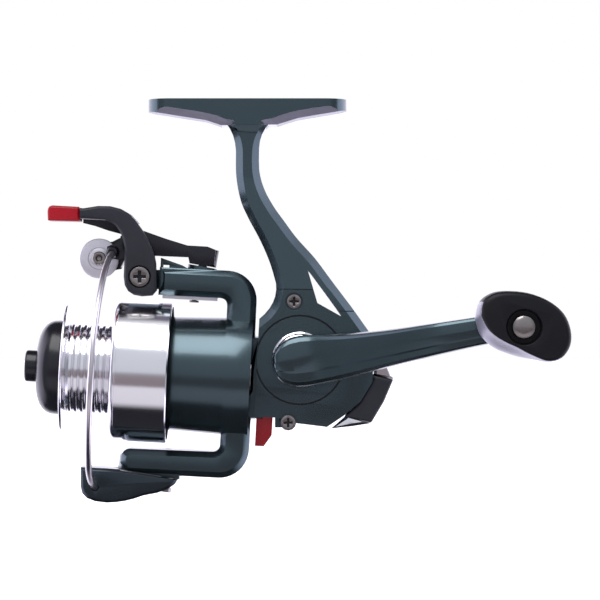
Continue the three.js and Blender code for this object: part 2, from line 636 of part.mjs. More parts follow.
const trigger = new THREE.Vector3(TRIGGER_PIVOT[0], 0, TRIGGER_PIVOT[1])
  .applyMatrix4(onShaft.matrixWorld.clone().invert());

function hexNut(from, to, across, boreR) {
  const shape = outline([0, 1, 2, 3, 4, 5].map((i) => {
    const angle = (i * Math.PI) / 3;
    return [(across / Math.sqrt(3)) * Math.cos(angle), (across / Math.sqrt(3)) * Math.sin(angle)];
  }));
  shape.holes = [bore(0, 0, boreR)];
  return alongX(shape, from, to);
}

addOnShaft(
  mesh("rotor", rotorPiece(), GREEN),
  mesh("rotor_nut", hexNut(9.9, rotorWeb[0] - GAP, 7.5, 2.15), BRASS),
  mesh("rotor_arm_cover", carved([box([-2.9, 12], [-4.3, 4.3], [ARM_TOP[0] - 0.9, ARM_TOP[0] + 0.9])],
    [standing(0.75, 5.6, 0, ARM_TOP[0] - 2, ARM_TOP[0] + 2)]), ZINC),
  mesh("arm_cover_screw", carved([standing(1.3, 5.6, 0, ARM_TOP[0] - 1.6, ARM_TOP[0] - 1.05),
    standing(0.65, 5.6, 0, ARM_TOP[0] - 1.1, ARM_TOP[0] + 1.4)]), SCREW),
  mesh("trip_lever", box([-1, 4.4], [-3.2, -1.2], [ARM_TOP[0] + 1.6, ARM_TOP[0] + 3.4]), STEEL),
  mesh("bail_spring", pinX(1.2, -1, 4.6, 12).translate(0, 1.6, ARM_TOP[0] + 2.6), STEEL),
);

// A pin that stands across the shaft, along w.
function standing(r, u, y, low, high, sides = 12) {
  return pinY(r, low, high, sides).rotateX(Math.PI / 2).translate(u, y, 0);
}

// Pivot screws of the bail, along its axis, with their heads outwards.
function bailScrew(name, head, tip) {
  const way = Math.sign(tip - head);
  const profile = [[0, head], [2.2, head], [2.2, head + way * 1.2], [1.25, head + way * 1.2],
    [1.25, tip], [0, tip]];
  const slots = [[2, 0.35], [0.35, 2]].map(([a, b]) => box([-a, a], [-0.6, 0.6], [-b, b])
    .applyQuaternion(bailTurn).translate(...BAIL_TOP)
    .translate(...bailAxis.clone().multiplyScalar(head).toArray()));
  return mesh(name, carved([aboutBail(profile, 20)], slots), SCREW);
}
add(
  bailScrew("bail_screw_upper", -3.2, 4.4),
  bailScrew("bail_screw_lower", BAIL_SPAN + 2.7, BAIL_SPAN - 6.5),
  mesh("left_cap", turnedY([[0, HALF_BODY + GAP], [5.4, HALF_BODY + GAP], [5.4, HALF_BODY + 2],
    [4.4, HALF_BODY + 3], [0, HALF_BODY + 3]]), BLACK, [crank.x, 0, crank.z]),
);

// ---- spool and drag ----

function spoolPiece() {
  const wall = SKIRT_R - 0.9;
  const groove = [];
  const rings = 5;
  for (let i = 0; i < rings; i += 1) {
    const u = LIP_U + 3 + i * 2.3;
    groove.push([BARREL_R, u], [BARREL_R - 0.5, u + 1.15]);
  }
  const profile = [[SHAFT_R + RUN, LIP_U + 7], [8.6, LIP_U + 7], [8.6, LIP_U + 0.2], [LIP_R - 1, LIP_U],
    [LIP_R, LIP_U + 0.5], [LIP_R - 0.6, LIP_U + 1.2], [BARREL_R, LIP_U + 2], ...groove,
    [BARREL_R, -SKIRT_LENGTH], [SKIRT_R - 1.8, -SKIRT_LENGTH], [SKIRT_R - 0.5, -SKIRT_LENGTH + 0.6],
    [SKIRT_R, -SKIRT_LENGTH + 2], [SKIRT_R, 0],
    [wall, 0], [wall, -SKIRT_LENGTH + 2], [4.2, -SKIRT_LENGTH + 2], [4.2, -6], [SHAFT_R + RUN, -6],
    [SHAFT_R + RUN, LIP_U + 7]];
  return turnedX(profile, 30);
}

const drag = LIP_U + 6.8;
addOnShaft(
  mesh("spool", spoolPiece(), CHROME),
  mesh("drag_felt_inner", ringX(7.9, 2, drag - 1.1, drag), FELT),
  mesh("drag_washer_steel", ringX(8.1, 1.9, drag - 2.2, drag - 1.3), STEEL),
  mesh("drag_felt_outer", ringX(7.9, 2, drag - 3.5, drag - 2.4), FELT),
  mesh("drag_pressure_plate", ringX(8.1, 1.9, drag - 4.8, drag - 3.7), STEEL),
  mesh("drag_clip", ringX(8.4, 7.4, drag - 5.6, drag - 5), STEEL),
  mesh("drag_spring", ringX(3, 1.9, drag - 8.6, drag - 5), STEEL),
  mesh("drag_nut", hexNut(drag - 11.2, drag - 8.8, 5, SHAFT_R + 0.03), BRASS),
  mesh("click_gear", alongX(gearShape(16, 0.5, SHAFT_R + 0.04), -5.8, -4.6), ZINC),
);

function dragKnob() {
  const front = -36.1;
  const back = LIP_U - 0.35;
  const profile = [[SHAFT_R + 0.05, front], [SHAFT_R + 0.05, -38], [0, -38], [0, -39.4],
    [3.6, -39.4], [4.3, -38.7],
    [4.3, front - 0.1], [8.5, front + 0.2], [11.8, front + 1.6], [12.8, front + 3.6], [12.8, back],
    [11.4, back], [11.4, front + 3.2], [3.4, front + 3.2], [3.4, front + 1.2], [SHAFT_R + 0.05, front + 1.2],
    [SHAFT_R + 0.05, front]];
  return turnedX(profile, 26);
}
addOnShaft(mesh("drag_knob", dragKnob(), BLACK));

// ---- bail: arm, roller, wire and far holder ----

function bailArm() {
  const arm = outline([[-8.6, -40.9], [-10.8, -40], [-16.2, -39.7], [-22, -37.9], [-28.2, -35.7],
    [-33, -36.5], [-37, -38.5], [-43, -39.5], [-44, -45], [-38, -46.6], [-34.6, -46], [-32.5, -42.2],
    [-16, -42.9], [-15.6, -45], [-9, -45]]);
  const slant = outline([[-6, -4], [-18, -4], [-30, -4.4], [-34.4, -4.4], [-34.4, 3.3], [-45, 3.3],
    [-45, 5.6], [-36, 5.6], [-20, 4], [-6, 4]]);
  const side = solid(plate(arm, -7, 7)).intersect(solid(slab(slant, -50, -30)));
  const hook = plate(outline([[-31, -38], [-34.6, -38.6], [-38, -40], [-38, -43], [-34.8, -43.6],
    [-31, -42.4]]), -4.6, -2.8);
  const cone = turnedY([[0, -7.6], [1.2, -7.6], [1.9, -4], [0, -4]], 16)
    .translate(WIRE[0][0], 0, WIRE[0][2]);
  const boss = aboutBail([[0, -3.6], [3.7, -3.6], [3.7, 1.1], [0, 1.1]]);
  const holes = [bailPin(1.36, -2.6, 4, 16), bailPin(2.4, -6, -1.8, 20),
    pinY(1.05, -2, 10, 12).translate(ROLLER[0], 0, ROLLER[1])];
  const under = aboutBail([[0, 1.15], [9, 1.15], [9, 6], [0, 6]]);
  return surface(cut(side.add(solid(hook)).add(solid(cone)).add(solid(boss)), ...holes, under,
    wireGeometry(1.05)));
}

const WIRE = [[-36.4, -5.4, -41.5], [-37.2, -17, -44.8], [-38.2, -29, -52.2], [-39.2, -36.8, -62.5],
  [-39.9, -39.2, -73.4], [-40.7, -36.8, -85], [-41.4, -28.6, -95.6], [-41.7, -18, -101.9],
  [-41, -6.5, -105.4]];

function wireGeometry(r) {
  const curve = new THREE.CatmullRomCurve3(WIRE.map((point) => new THREE.Vector3(...point)));
  return weld(new THREE.ExtrudeGeometry(disc(0, 0, r), { extrudePath: curve, steps: 26, curveSegments: 3 }));
}

function bailHolder() {
  const side = new THREE.Shape(vectors([[-45, -99.7], [-38, -100], [-34, -100.3]]));
  side.lineTo(-18.6, -102.6);
  side.quadraticCurveTo(-19.4, -106.2, -28.2, -107.4);
  side.quadraticCurveTo(-33, -109.3, -38, -109.3);
  side.quadraticCurveTo(-45, -109, -45, -105);
  const body = plate(side, -7.6, 4.6, 0.8, 4);
  const arm = bailPin(SWING_R, BAIL_SPAN - 9, BAIL_SPAN - PIVOT_GAP, 48);
  const pivot = bailPin(1.36, BAIL_SPAN - 3, BAIL_SPAN + 1.4, 16);
  const head = bailPin(2.4, BAIL_SPAN + 1.2, BAIL_SPAN + 8, 20);
  return carved([body], [arm, pivot, head, wireGeometry(1.05)]);
}

add(
  mesh("bail_arm", bailArm(), BLACK),
  mesh("bail_holder", bailHolder(), BLACK),
  mesh("bail_wire", wireGeometry(0.85), CHROME),
);
const rollerProfile = [[1.55, -2.3], [2.4, -2.3], [5.4, -2.1], [5.4, -1.5], [3.4, -0.6], [3.1, 0.5],
  [3.4, 1.5], [4.6, 2.1], [4.6, 2.7], [1.55, 2.7], [1.55, -2.3]];
add(
  mesh("line_roller", turnedY(rollerProfile, 24), CHROME, [ROLLER[0], 0, ROLLER[1]]),
  mesh("roller_screw", turnedY([[0, -2.8], [0.8, -2.8], [0.8, -3.4], [1.9, -3.4], [1.9, -2.6],
    [1, -2.6], [1, 4.9], [0, 4.9]], 20), SCREW, [ROLLER[0], 0, ROLLER[1]]),
  mesh("roller_bush", ringY(1.48, 1.05, -2.4, 3, 16), BRASS, [ROLLER[0], 0, ROLLER[1]]),
);

// ---- trigger ----

function triggerLever() {
  const shape = new THREE.Shape();
  shape.moveTo(-33.3, -48.2);
  shape.lineTo(-33, -40.5);
  shape.quadraticCurveTo(-33.9, -33.8, -38.4, -32.8);
  shape.lineTo(-53, -32);
  shape.lineTo(-53, -29.9);
  shape.lineTo(-44, -29.7);
  shape.quadraticCurveTo(-34, -27.4, -30, -33.2);
  shape.quadraticCurveTo(-25.1, -39.5, -24.6, -44.7);
  shape.lineTo(-24.4, -51.9);
  shape.lineTo(-25.6, -53.3);
  shape.quadraticCurveTo(-33.4, -54.6, -33.3, -48.2);
  const whole = plate(shape, -8.6, 5.4, 0.6, 5);
  const [x, z] = TRIGGER_PIVOT;
  const behind = outline([[-60, -33], [-37.6, -33.4], [-31.6, -33.8], [-26, -33.4], [-20, -33], [-20, -60],
    [-60, -60]]);
  // The far edge of the thumb piece hangs lower than the near one.
  const farRib = outline([[-45.2, -31.4], [-45.2, -33.4], [-42, -34.2], [-38.2, -35.5], [-34.9, -36.4],
    [-33.4, -34], [-33.2, -31.4]]);
  const open = surface(cut(solid(whole), plate(behind, -4.9, 10)));
  return carved([open, plate(farRib, 3.6, 5.2)], [
    plate(disc(x, z, 3.1), -20, -6.9, 0, 10),
    plate(disc(x, z, 1.45), -20, 0, 0, 8),
    box([-60, -45.1], [-12, -6], [-36, -25]),
    box([-60, -45.1], [2.8, 10], [-36, -25]),
  ]);
}
const gripShape = new THREE.Shape(vectors([[-45.3, -29.3], [-52.6, -28.9]]));
gripShape.quadraticCurveTo(-54, -29, -54, -30.6);
gripShape.lineTo(-53.9, -33);
gripShape.lineTo(-45.3, -33.2);
add(
  mesh("trigger_lever", triggerLever(), BLACK),
  mesh("trigger_grip",
    carved([plate(gripShape, -7.2, 4, 0.5, 4)], [box([-53.2, -40], [-6.2, 3], [-32.5, -29.2])]), RED),
  mesh("trigger_spring", ringY(2.5, 1.6, -4.75, -3.75, 16), STEEL, [TRIGGER_PIVOT[0], 0, TRIGGER_PIVOT[1]]),
  screw("trigger_screw", [TRIGGER_PIVOT[0], -8.3, TRIGGER_PIVOT[1]], 2.7, 1.2, 1.3, 9.5),
);

export default root;
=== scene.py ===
import json
import math

import bpy
from mathutils import Matrix, Vector

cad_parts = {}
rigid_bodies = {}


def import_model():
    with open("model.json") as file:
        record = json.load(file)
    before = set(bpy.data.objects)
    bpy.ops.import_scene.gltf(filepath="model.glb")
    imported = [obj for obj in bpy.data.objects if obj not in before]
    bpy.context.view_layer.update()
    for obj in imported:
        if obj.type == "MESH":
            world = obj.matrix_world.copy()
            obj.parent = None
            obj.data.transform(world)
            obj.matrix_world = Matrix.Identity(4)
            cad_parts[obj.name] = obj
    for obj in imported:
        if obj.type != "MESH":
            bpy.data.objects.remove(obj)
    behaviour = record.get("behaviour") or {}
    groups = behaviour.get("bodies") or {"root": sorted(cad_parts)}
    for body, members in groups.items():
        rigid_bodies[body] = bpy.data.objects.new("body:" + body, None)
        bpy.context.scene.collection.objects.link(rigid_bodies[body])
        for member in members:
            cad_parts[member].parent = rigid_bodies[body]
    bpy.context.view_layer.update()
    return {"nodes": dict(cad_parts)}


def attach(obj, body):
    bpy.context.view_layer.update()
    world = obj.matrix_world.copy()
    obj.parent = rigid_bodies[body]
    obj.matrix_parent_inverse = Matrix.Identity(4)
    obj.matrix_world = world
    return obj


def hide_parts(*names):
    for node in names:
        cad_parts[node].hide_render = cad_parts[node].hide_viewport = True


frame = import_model()
nodes = frame["nodes"]
mm = 0.001
print("frame loaded:", len(nodes), "nodes")


# View, stage and light.
stageSet = {
    "cameraDistance": 0.8,
    "viewCentre": (0.0143, 0.0, -0.0545),
    "viewWidth": 0.1636,  # at the reel's middle plane
    "sensor": 36.0,
    "floorZ": -0.122,  # below the reel
    "floorSize": 5.0,
    "floorWhite": (0.9, 0.9, 0.91),
    "floorGlow": 0.55,
    "floorRoughness": 0.9,
    "backdropWhite": (1.0, 1.0, 1.0),
    "softboxes": [  # name, place, aim, size, watts
        ("softboxTop", (-0.15, -0.3, 0.55), (0, 0, -0.05), 0.5, 4.0),
        ("softboxLeft", (-0.6, -0.45, 0.0), (0, 0, -0.06), 0.35, 1.6),
    ],
}


def deselectAll():
    bpy.ops.object.select_all(action="DESELECT")


def makeActive(piece):
    deselectAll()
    piece.select_set(True)
    bpy.context.view_layer.objects.active = piece


deselectAll()
bpy.context.scene.view_settings.view_transform = "Standard"
centre = Vector(stageSet["viewCentre"])
eye = centre + Vector((0, -stageSet["cameraDistance"], 0))
bpy.ops.object.camera_add(location=eye, rotation=(math.pi / 2, 0, 0))
camera = bpy.context.object
camera.name = "studioCamera"
camera.data.sensor_width = stageSet["sensor"]
camera.data.lens = stageSet["sensor"] * stageSet["cameraDistance"] / stageSet["viewWidth"]
bpy.context.scene.camera = camera


def newMaterial(name):
    material = bpy.data.materials.new(name)
    material.use_nodes = True
    tree = material.node_tree
    return material, tree, tree.nodes["Principled BSDF"]


bpy.ops.mesh.primitive_plane_add(size=stageSet["floorSize"], location=(0, 0, stageSet["floorZ"]))
floor = bpy.context.object
floor.name = "floor"
floorPaper, tree, shader = newMaterial("floorPaper")
shader.inputs["Base Color"].default_value = (*stageSet["floorWhite"], 1)
shader.inputs["Roughness"].default_value = stageSet["floorRoughness"]
shader.inputs["Emission Color"].default_value = (1, 1, 1, 1)
shader.inputs["Emission Strength"].default_value = stageSet["floorGlow"]
floor.data.materials.append(floorPaper)
floor.visible_glossy = False  # the metal shows the studio's dark side below it


worldSet = {
    "stops": [  # degrees up from the viewer's side, colour
        (-180, (1.7, 1.65, 1.9)), (-150, (1.6, 1.55, 1.8)), (-136, (0.03, 0.03, 0.04)),
        (-62, (0.02, 0.02, 0.025)), (-52, (0.8, 0.78, 0.85)), (-25, (0.85, 0.83, 0.9)),
        (-21, (0.26, 0.22, 0.24)), (-7, (0.3, 0.26, 0.28)), (-3, (0.34, 0.34, 0.38)),
        (1, (0.68, 0.7, 0.76)), (40, (0.72, 0.76, 0.82)), (88, (0.95, 0.95, 1.0)),
        (100, (0.05, 0.055, 0.06)), (146, (0.04, 0.04, 0.05)), (156, (1.6, 1.55, 1.8)),
        (180, (1.7, 1.65, 1.9)),
    ],
    "wallRun": (0.5, 0.85),  # how far to the side the walls begin and are full
    "besideRun": (-0.2, -0.06),  # how far from the viewer's side they begin and are full
    "wallColour": (2.5, 2.4, 2.9),
    "cornerColour": (0.36, 0.38, 0.42),  # the corners beside the viewer
}


def studioWorld():
    # Bright in front, above and behind, dark past the top and underneath, dim just below level.
    world = bpy.data.worlds.new("softStudio")
    bpy.context.scene.world = world
    world.use_nodes = True
    tree = world.node_tree
    tree.nodes.clear()
    link = tree.links.new
    coord = tree.nodes.new("ShaderNodeTexCoord")
    split = tree.nodes.new("ShaderNodeSeparateXYZ")
    link(coord.outputs["Generated"], split.inputs[0])
    front = tree.nodes.new("ShaderNodeMath")
    front.operation = "MULTIPLY"
    front.inputs[1].default_value = -1
    link(split.outputs["Y"], front.inputs[0])
    turn = tree.nodes.new("ShaderNodeMath")
    turn.operation = "ARCTAN2"
    link(split.outputs["Z"], turn.inputs[0])
    link(front.outputs[0], turn.inputs[1])
    scaled = tree.nodes.new("ShaderNodeMath")
    scaled.operation = "MULTIPLY_ADD"
    scaled.inputs[1].default_value = 1 / (2 * math.pi)
    scaled.inputs[2].default_value = 0.5
    link(turn.outputs[0], scaled.inputs[0])
    ramp = tree.nodes.new("ShaderNodeValToRGB")
    link(scaled.outputs[0], ramp.inputs[0])
    stops = worldSet["stops"]
    while len(ramp.color_ramp.elements) < len(stops):
        ramp.color_ramp.elements.new(0.5)
    for element, (degrees, colour) in zip(ramp.color_ramp.elements, stops):
        element.position = degrees / 360 + 0.5
        element.color = (*colour, 1)
    # The side walls of the tent are its brightest part.
    across = tree.nodes.new("ShaderNodeMath")
    across.operation = "ABSOLUTE"
    link(split.outputs["X"], across.inputs[0])
    sides = tree.nodes.new("ShaderNodeMapRange")
    sides.inputs["From Min"].default_value = worldSet["wallRun"][0]
    sides.inputs["From Max"].default_value = worldSet["wallRun"][1]
    link(across.outputs[0], sides.inputs["Value"])
    beside = tree.nodes.new("ShaderNodeMapRange")
    beside.inputs["From Min"].default_value = worldSet["besideRun"][0]
    beside.inputs["From Max"].default_value = worldSet["besideRun"][1]
    link(split.outputs["Y"], beside.inputs["Value"])
    both = tree.nodes.new("ShaderNodeMath")
    both.operation = "MULTIPLY"
    link(sides.outputs[0], both.inputs[0])
    link(beside.outputs[0], both.inputs[1])
    walls = tree.nodes.new("ShaderNodeMix")
    walls.data_type = "RGBA"
    walls.inputs[7].default_value = (*worldSet["wallColour"], 1)
    link(both.outputs[0], walls.inputs[0])
    link(ramp.outputs[0], walls.inputs[6])
    ahead = tree.nodes.new("ShaderNodeMath")
    ahead.operation = "SUBTRACT"
    link(sides.outputs[0], ahead.inputs[0])
    link(both.outputs[0], ahead.inputs[1])
    dim = tree.nodes.new("ShaderNodeMix")
    dim.data_type = "RGBA"
    dim.inputs[7].default_value = (*worldSet["cornerColour"], 1)
    link(ahead.outputs[0], dim.inputs[0])
    link(walls.outputs[2], dim.inputs[6])
    studio = tree.nodes.new("ShaderNodeBackground")
    link(dim.outputs[2], studio.inputs[0])
    paper = tree.nodes.new("ShaderNodeBackground")
    paper.inputs[0].default_value = (*stageSet["backdropWhite"], 1)
    path = tree.nodes.new("ShaderNodeLightPath")
    mix = tree.nodes.new("ShaderNodeMixShader")
    out = tree.nodes.new("ShaderNodeOutputWorld")
    link(path.outputs["Is Camera Ray"], mix.inputs[0])
    link(studio.outputs[0], mix.inputs[1])
    link(paper.outputs[0], mix.inputs[2])
    link(mix.outputs[0], out.inputs[0])


studioWorld()


def softbox(name, place, aim, size, watts):
    bpy.ops.object.light_add(type="AREA", location=place)
    lamp = bpy.context.object
    lamp.name = name
    lamp.data.size = size
    lamp.data.energy = watts
    lamp.visible_glossy = name == "softboxTop"  # the other would show in the arm
    lamp.rotation_euler = (Vector(aim) - Vector(place)).to_track_quat("-Z", "Y").to_euler()


for lampSet in stageSet["softboxes"]:
    softbox(*lampSet)
print("stage and light set")


# Finishes.
grainSet = {
    "fineDetail": 4, "fineShare": 0.6,
    "broadScale": 90, "broadDetail": 3, "broadShare": 0.4,
    "reliefDepth": 0.0002,
    "leastRoughness": 0.02,
    "coatRoughness": 0.06,
}


def finish(name, colour, second, metallic, roughness, grain, coat=0.0, bump=0.02, spread=0.06,
           specular=0.5, stretch=(1, 1, 1)):
    # Two close tones mottled by noise, with the roughness and a fine bump broken up at the same grain.
    material, tree, shader = newMaterial(name)
    link = tree.links.new
    coord = tree.nodes.new("ShaderNodeTexCoord")
    mapping = tree.nodes.new("ShaderNodeMapping")
    mapping.inputs["Scale"].default_value = stretch
    link(coord.outputs["Object"], mapping.inputs["Vector"])
    fine = tree.nodes.new("ShaderNodeTexNoise")
    fine.inputs["Scale"].default_value = grain
    fine.inputs["Detail"].default_value = grainSet["fineDetail"]
    link(mapping.outputs[0], fine.inputs["Vector"])
    broad = tree.nodes.new("ShaderNodeTexNoise")
    broad.inputs["Scale"].default_value = grainSet["broadScale"]
    broad.inputs["Detail"].default_value = grainSet["broadDetail"]
    link(coord.outputs["Object"], broad.inputs["Vector"])
    blendTone = tree.nodes.new("ShaderNodeMix")
    blendTone.data_type = "RGBA"
    blendTone.inputs[6].default_value = (*colour, 1)
    blendTone.inputs[7].default_value = (*second, 1)
    tone = tree.nodes.new("ShaderNodeMath")
    tone.operation = "MULTIPLY_ADD"
    tone.inputs[1].default_value = grainSet["fineShare"]
    link(fine.outputs[0], tone.inputs[0])
    half = tree.nodes.new("ShaderNodeMath")
    half.operation = "MULTIPLY"
    half.inputs[1].default_value = grainSet["broadShare"]
    link(broad.outputs[0], half.inputs[0])
    link(half.outputs[0], tone.inputs[2])
    link(tone.outputs[0], blendTone.inputs[0])
    link(blendTone.outputs[2], shader.inputs["Base Color"])
    rough = tree.nodes.new("ShaderNodeMapRange")
    rough.inputs["To Min"].default_value = max(grainSet["leastRoughness"], roughness - spread)
    rough.inputs["To Max"].default_value = roughness + spread
    link(tone.outputs[0], rough.inputs["Value"])
    link(rough.outputs[0], shader.inputs["Roughness"])
    relief = tree.nodes.new("ShaderNodeBump")
    relief.inputs["Strength"].default_value = bump
    relief.inputs["Distance"].default_value = grainSet["reliefDepth"]
    link(fine.outputs[0], relief.inputs["Height"])
    link(relief.outputs[0], shader.inputs["Normal"])
    shader.inputs["Metallic"].default_value = metallic
    shader.inputs["Coat Weight"].default_value = coat
    shader.inputs["Coat Roughness"].default_value = grainSet["coatRoughness"]
    shader.inputs["Specular IOR Level"].default_value = specular
    return material


finishes = {
    "greenPaint": finish("greenPaint", (0.040, 0.062, 0.072), (0.062, 0.090, 0.104), 0.92, 0.24, 5200,
                         coat=0.25, bump=0.05),
    "deepGreen": finish("deepGreen", (0.020, 0.028, 0.036), (0.032, 0.044, 0.054), 0.85, 0.26, 5200,
                        coat=0.2, bump=0.05),
    "blackGloss": finish("blackGloss", (0.005, 0.005, 0.008), (0.009, 0.009, 0.013), 0.0, 0.22, 2600,
                         bump=0.04, specular=0.32),
    "satinBlack": finish("satinBlack", (0.011, 0.011, 0.016), (0.018, 0.018, 0.024), 0.0, 0.40, 4200,
                         bump=0.12, specular=0.25),
    "softBlack": finish("softBlack", (0.004, 0.004, 0.006), (0.008, 0.008, 0.010), 0.0, 0.40, 3400,
                        bump=0.15, specular=0.14),
    # paleEdge paints a reflection of the bright studio as a pale tone, on the foot's underside and on the
    # knob's lower left wall.
    "paleEdge": finish("paleEdge", (0.24, 0.23, 0.30), (0.32, 0.31, 0.38), 0.7, 0.35, 5200, bump=0.05),
    "redPlastic": finish("redPlastic", (0.20, 0.001, 0.006), (0.26, 0.003, 0.010), 0.0, 0.34, 2600,
                         bump=0.06, specular=0.22),
    "chrome": finish("chrome", (0.78, 0.77, 0.80), (0.84, 0.83, 0.86), 1.0, 0.09, 1800,
                     bump=0.01, spread=0.03),
    "turnedAlloy": finish("turnedAlloy", (0.76, 0.75, 0.79), (0.86, 0.85, 0.88), 1.0, 0.13, 1500,
                          bump=0.03, spread=0.05, stretch=(6, 1, 1)),
    "wireSteel": finish("wireSteel", (0.60, 0.56, 0.60), (0.70, 0.67, 0.71), 1.0, 0.30, 1600, bump=0.03),
    "darkNickel": finish("darkNickel", (0.22, 0.20, 0.20), (0.33, 0.30, 0.29), 1.0, 0.24, 2400, bump=0.08),
    "plainSteel": finish("plainSteel", (0.30, 0.29, 0.32), (0.40, 0.39, 0.42), 1.0, 0.30, 2200, bump=0.08),
    "zincCast": finish("zincCast", (0.36, 0.36, 0.38), (0.48, 0.48, 0.49), 0.9, 0.48, 1400, bump=0.25),
    "gearBrass": finish("gearBrass", (0.55, 0.38, 0.13), (0.66, 0.48, 0.18), 1.0, 0.32, 2000, bump=0.08),
    "dragFelt": finish("dragFelt", (0.22, 0.19, 0.16), (0.34, 0.31, 0.27), 0.0, 0.95, 2600, bump=0.6),
    "frostedRoller": finish("frostedRoller", (0.52, 0.50, 0.56), (0.60, 0.58, 0.64), 0.7, 0.30, 700,
                            bump=0.01, spread=0.03),
}
print("finishes made:", len(finishes))


def shadeByAngle(piece, degrees=35):
    makeActive(piece)
    bpy.ops.object.shade_smooth_by_angle(angle=math.radians(degrees))


def applyModifier(piece, kind, **settings):
    makeActive(piece)
    modifier = piece.modifiers.new(kind.lower(), kind)
    for name, value in settings.items():
        setattr(modifier, name, value)
    bpy.ops.object.modifier_apply(modifier=modifier.name)


weldGap = 0.004 * mm  # corners of loose triangles that are closer than this are one
seamGap = 0.002 * mm  # the same for a skin or a turned piece
flatAngle = math.radians(0.6)  # faces that meet flatter than this become one


def bodyOf(nodeName):
    return nodes[nodeName].parent.name.split(":", 1)[1]


def settle(piece, name, nodeName, finishName):
    # Gives a finished piece its name, finish and body, and hides the node it stands for.
    piece.name = name
    piece.data.materials.clear()
    piece.data.materials.append(finishes[finishName])
    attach(piece, bodyOf(nodeName))
    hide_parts(nodeName)
    return piece


def mergedCopy(nodeName):
    # The node's own shape with its loose triangles joined into whole faces.
    piece = bpy.data.objects.new(nodeName + "Shape", nodes[nodeName].data.copy())
    bpy.context.scene.collection.objects.link(piece)
    makeActive(piece)
    bpy.ops.object.mode_set(mode="EDIT")
    bpy.ops.mesh.select_all(action="SELECT")
    bpy.ops.mesh.remove_doubles(threshold=weldGap)
    bpy.ops.mesh.dissolve_limited(angle_limit=flatAngle)
    bpy.ops.object.mode_set(mode="OBJECT")
    return piece


def roundedCopy(nodeName, finishName, width, segments=3, degrees=32):
    # The node's own shape with its sharp edges broken.
    piece = mergedCopy(nodeName)
    applyModifier(piece, "BEVEL", width=width * mm, segments=segments, limit_method="ANGLE",
                  angle_limit=math.radians(degrees), miter_outer="MITER_ARC")
    shadeByAngle(piece)
    return settle(piece, nodeName + "Shape", nodeName, finishName)


shaftRear = Vector((-21.2, 0, -74.45)) * mm  # where the shaft's line leaves the spool skirt
shaftTilt = math.radians(3)
shaftPlace = Matrix.Translation(shaftRear) @ Matrix.Rotation(shaftTilt, 4, "Y")
# The crank's axis, from the shaft's line.
crankPlace = Matrix.Translation(shaftPlace @ (Vector((35.26, 0, 5.6)) * mm))


def editMode(piece, kind):
    makeActive(piece)
    bpy.ops.object.mode_set(mode="EDIT")
    bpy.ops.mesh.select_mode(type=kind)
    bpy.ops.mesh.select_all(action="SELECT")


def objectMode():
    bpy.ops.object.mode_set(mode="OBJECT")


def ringOf(points, name):
    # A closed ring of vertices, one at each point given in mm.
    deselectAll()
    bpy.ops.mesh.primitive_circle_add(vertices=len(points), radius=mm)
    piece = bpy.context.object
    piece.name = name
    for vertex, point in zip(piece.data.vertices, points):
        vertex.co = Vector(point) * mm
    return piece


def turnedPiece(name, profile, axis, place, steps=96, degrees=28, closed=True):
    # Spins a profile of (radius, distance along the axis) and sets it in place.
    if axis == "X":
        points = [(along, 0, radius) for radius, along in profile]
        line = (1, 0, 0)
    else:
        points = [(radius, along, 0) for radius, along in profile]
        line = (0, 1, 0)
    piece = ringOf(points, name)
    if not closed:  # both ends lie on the axis
        editMode(piece, "EDGE")
        bpy.ops.mesh.select_all(action="DESELECT")
        objectMode()
        last = len(points) - 1
        for edge in piece.data.edges:
            edge.select = set(edge.vertices) == {0, last}
        bpy.ops.object.mode_set(mode="EDIT")
        bpy.ops.mesh.delete(type="EDGE")
        objectMode()
    editMode(piece, "VERT")
    bpy.ops.mesh.spin(steps=steps, angle=2 * math.pi, center=(0, 0, 0), axis=line)
    bpy.ops.mesh.select_all(action="SELECT")
    bpy.ops.mesh.remove_doubles(threshold=seamGap)
    bpy.ops.mesh.normals_make_consistent(inside=False)
    objectMode()
    piece.data.transform(place)
    shadeByAngle(piece, degrees)
    return piece


def arcPoints(centre, radius, start, end, count):
    # Points of (radius, along) on an arc between two angles in degrees.
    angles = [math.radians(start + (end - start) * i / (count - 1)) for i in range(count)]
    return [(centre[0] + radius * math.cos(a), centre[1] + radius * math.sin(a)) for a in angles]


# Housing: foot, stem and gear case with its cover, broadly chamfered.
housingSet = {
    "chamfer": 1.9,  # along the stem and the strut
    "lowEdge": [(0, -85.2), (12.7, -86.9), (22.2, -88.2), (30, -89.3)],
    "lowFacet": (0.85, 5.2),  # depth, breadth of the facet under the cover
    "edgeRound": 0.3,
    "edgeAngle": 24,  # degrees, sharper edges than this are rounded
    "smoothAngle": 38,
    "normalWeight": 60,
    "groove": (11.5, 12.7),  # inner and outer radius
    "grooveWall": (0.2, -0.9),  # least run outwards, or least turn from the cover's face
    "sheenFacing": -0.35,  # how far down a face looks to get the painted sheen
    "sheenAbove": (-6.9, -10.5),  # lowest height of the painted sheen beside the stem and out at the tips
    "stemHalf": 5.2,
    "reach": 1.3,  # how far the cutter stands out of the metal
    "halfWidths": [  # height, half width
        (-3, 7.5), (-7.2, 7.5), (-9.4, 5.0), (-22, 5.0), (-51, 8.5), (-95, 8.5)],
    "leftSide": [(-28, -3.2), (-20, -4.4), (-12, -5.7), (-7.4, -7), (-4.6, -9.4), (-3.2, -13.2),
                 (-3, -21), (-1.8, -27.4), (0.2, -32.1), (3.5, -38.3), (6.1, -44.3), (7.8, -50),
                 (7.4, -54.5), (5.6, -57.6), (3.3, -59.6), (-1, -63)],
    "rightSide": [(28, -3), (20, -4.2), (13.9, -5.2), (8.2, -6.9), (5, -9.2), (3.4, -13),
                  (3.3, -19.6), (4.7, -24.6), (7.2, -29.2), (9.7, -32.7), (13.4, -37.7),
                  (18.4, -43.3), (23.3, -49.9), (28.3, -56.5), (32.7, -62.7), (34.6, -66), (35.2, -70)],
}


